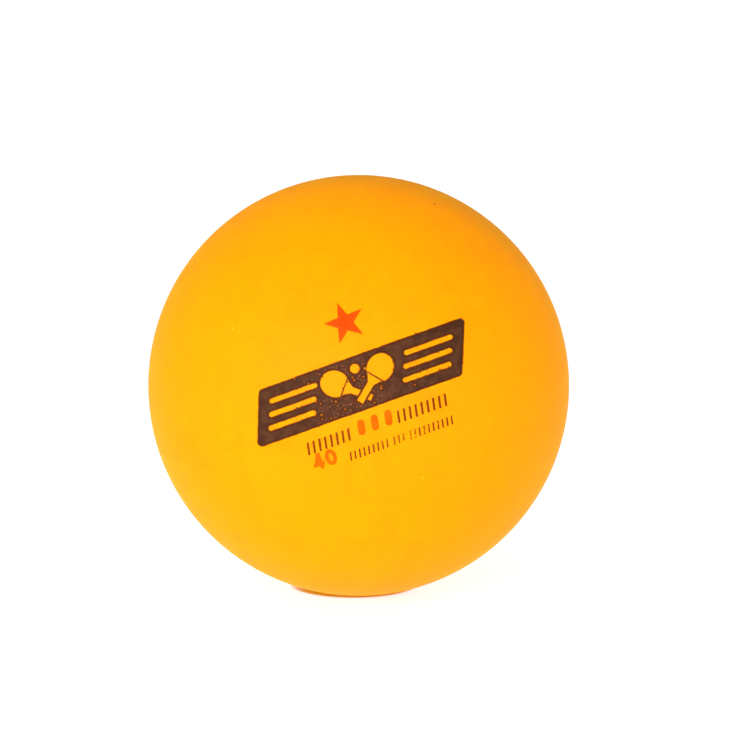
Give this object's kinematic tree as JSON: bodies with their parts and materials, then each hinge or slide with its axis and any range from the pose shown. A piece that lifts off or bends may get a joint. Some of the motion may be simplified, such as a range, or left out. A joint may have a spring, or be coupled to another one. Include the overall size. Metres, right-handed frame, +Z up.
{
  "type": "table tennis ball",
  "caption": "Hollow orange celluloid table tennis ball of 40 mm, two cemented half shells with a lap seam and a printed stamp.",
  "frame": {"origin": "centre of the ball, which is the centre of its bounding box", "axes": "+Z up; -Y is the pole of the front half, which the stamp faces; the halves meet on the plane Y = 0"},
  "size_m": [0.04, 0.04, 0.04],
  "materials": {
    "shell": "tumbled matt celluloid, slightly translucent",
    "cement": "dried solvent cement of the same celluloid",
    "red_ink": "pad-printed orange-red ink",
    "dark_ink": "pad-printed dark brown ink, mottled",
    "orange_ink": "pad-printed orange ink"
  },
  "bodies": {
    "root": {"front_half_shell": "shell", "rear_half_shell": "shell", "seam_cement": "cement", "print_star": "red_ink", "print_emblem_panel": "dark_ink", "print_size_number": "orange_ink", "print_accent_hatch": "orange_ink", "print_upper_hatch": "dark_ink", "print_lower_hatch": "dark_ink"}
  },
  "joints": []
}
